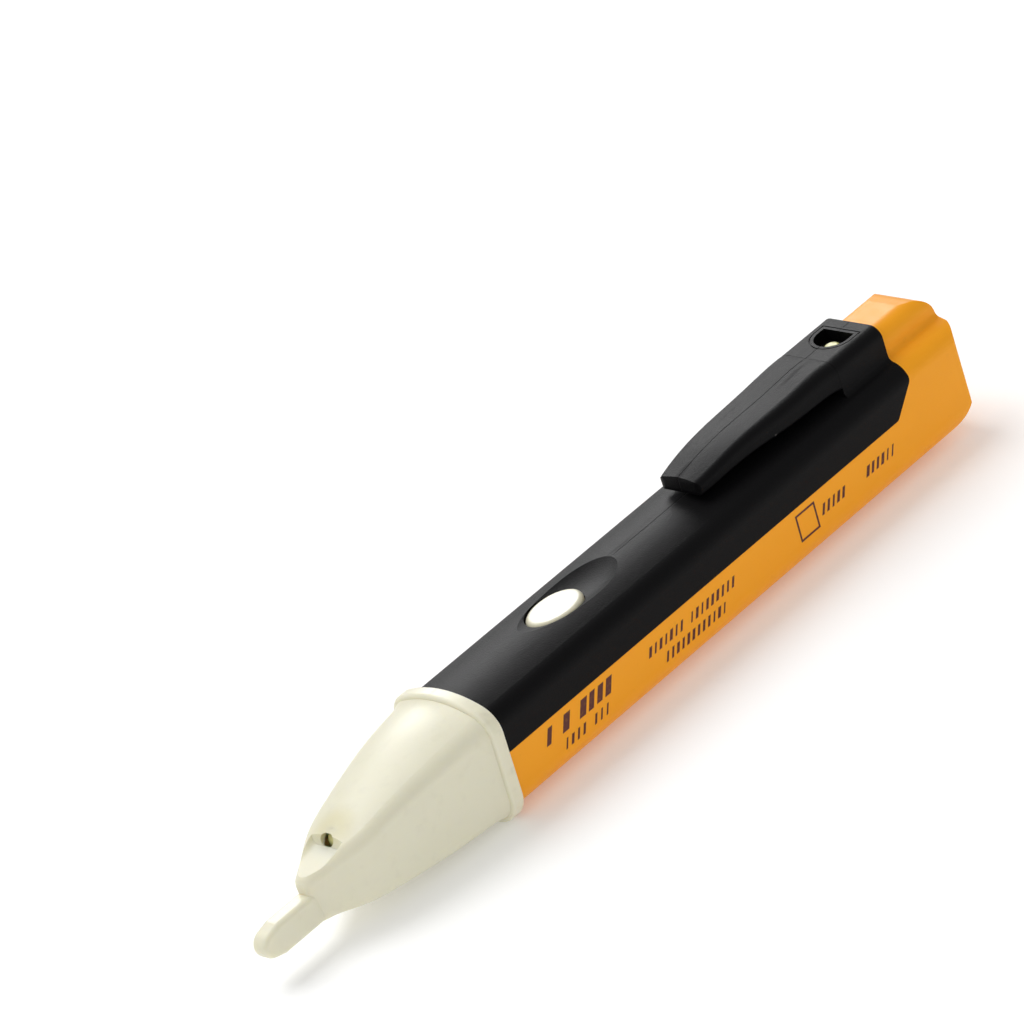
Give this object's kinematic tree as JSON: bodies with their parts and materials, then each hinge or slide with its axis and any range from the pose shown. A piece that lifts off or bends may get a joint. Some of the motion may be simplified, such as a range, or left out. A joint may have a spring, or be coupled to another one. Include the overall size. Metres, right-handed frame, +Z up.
{
  "type": "non contact voltage tester",
  "caption": "Slim pocket pen that senses mains voltage: flat probe nose, finger-scoop button, pocket clip, and a slide-out inner assembly that holds the cells and circuit board.",
  "frame": {"origin": "under the middle of the pen's length, on its centre plane, level with the underside of the nose flange", "axes": "+X from the probe tip to the tail, +Z up through the button and the clip, +Y to the pen's far side"},
  "size_m": [0.155, 0.02, 0.0248],
  "materials": {
    "shell_orange": "satin moulded plastic",
    "cover_black": "fine-grained satin plastic",
    "ivory": "slightly translucent satin plastic",
    "seal": "soft rubber",
    "tray_plastic": "moulded plastic",
    "pin_plastic": "moulded plastic",
    "board": "solder-masked laminate",
    "chip_black": "moulded epoxy",
    "resistor": "ceramic chip with tinned ends",
    "capacitor": "ceramic chip",
    "steel": "bright steel",
    "plated": "nickel plate",
    "brass": "bare brass",
    "cell_can": "drawn steel can",
    "cell_sleeve": "printed shrink sleeve",
    "led_clear": "clear epoxy",
    "led_red": "red epoxy"
  },
  "bodies": {
    "shell": {"body_shell": "shell_orange", "grip_cover": "cover_black", "release_spring": "steel"},
    "clip": {"pocket_clip": "cover_black"},
    "button": {"power_button": "ivory"},
    "release": {"release_pin": "pin_plastic"},
    "inner_assembly": {"nose_cone": "ivory", "nose_seal": "seal", "battery_tray": "tray_plastic", "front_cell": "cell_can", "front_cell_sleeve": "cell_sleeve", "rear_cell": "cell_can", "rear_cell_sleeve": "cell_sleeve", "front_contact": "plated", "rear_contact": "plated", "return_strip": "plated", "rear_spring": "plated", "circuit_board": "board", "switch_base": "chip_black", "switch_shield": "plated", "buzzer": "chip_black", "control_chip": "chip_black", "board_resistors": "resistor", "board_capacitors": "capacitor", "board_transistors": "chip_black", "alarm_led": "led_red", "torch_led": "led_clear", "led_leads": "plated", "sensor_antenna": "brass", "tray_screws": "steel", "board_screws": "steel"},
    "plunger": {"switch_plunger": "chip_black"},
    "tongue": {"latch_tongue": "tray_plastic"}
  },
  "joints": [
    {"name": "button_press", "type": "slide", "parent": "shell", "child": "button", "axis": [0, 0, -1], "range_m": [0, 0.0004], "stiffness_N_per_m": 4000},
    {"name": "clip_flex", "type": "hinge", "parent": "shell", "child": "clip", "pos_m": [0.05345, 0, 0.0246], "axis": [0, 1, 0], "range_deg": [0, 6], "stiffness_Nm_per_rad": 1.5},
    {"name": "release_press", "type": "slide", "parent": "shell", "child": "release", "axis": [0, 0, -1], "range_m": [0, 0.001], "stiffness_N_per_m": 900, "deforming": ["release_spring"]},
    {"name": "assembly_slide", "type": "slide", "parent": "shell", "child": "inner_assembly", "axis": [-1, 0, 0], "range_m": [0, 0.11], "deforming": ["latch_tongue"]},
    {"name": "plunger_press", "type": "slide", "parent": "inner_assembly", "child": "plunger", "axis": [0, 0, -1], "range_m": [0, 0.0005]},
    {"name": "tongue_flex", "type": "hinge", "parent": "inner_assembly", "child": "tongue", "pos_m": [0.04725, 0, 0.0155], "axis": [0, 1, 0], "range_deg": [0, 6]}
  ],
  "couplings": [
    {"joint": "plunger_press", "follows": "button_press", "ratio": 1},
    {"joint": "tongue_flex", "follows": "release_press", "rad_per_m": 92.5}
  ]
}
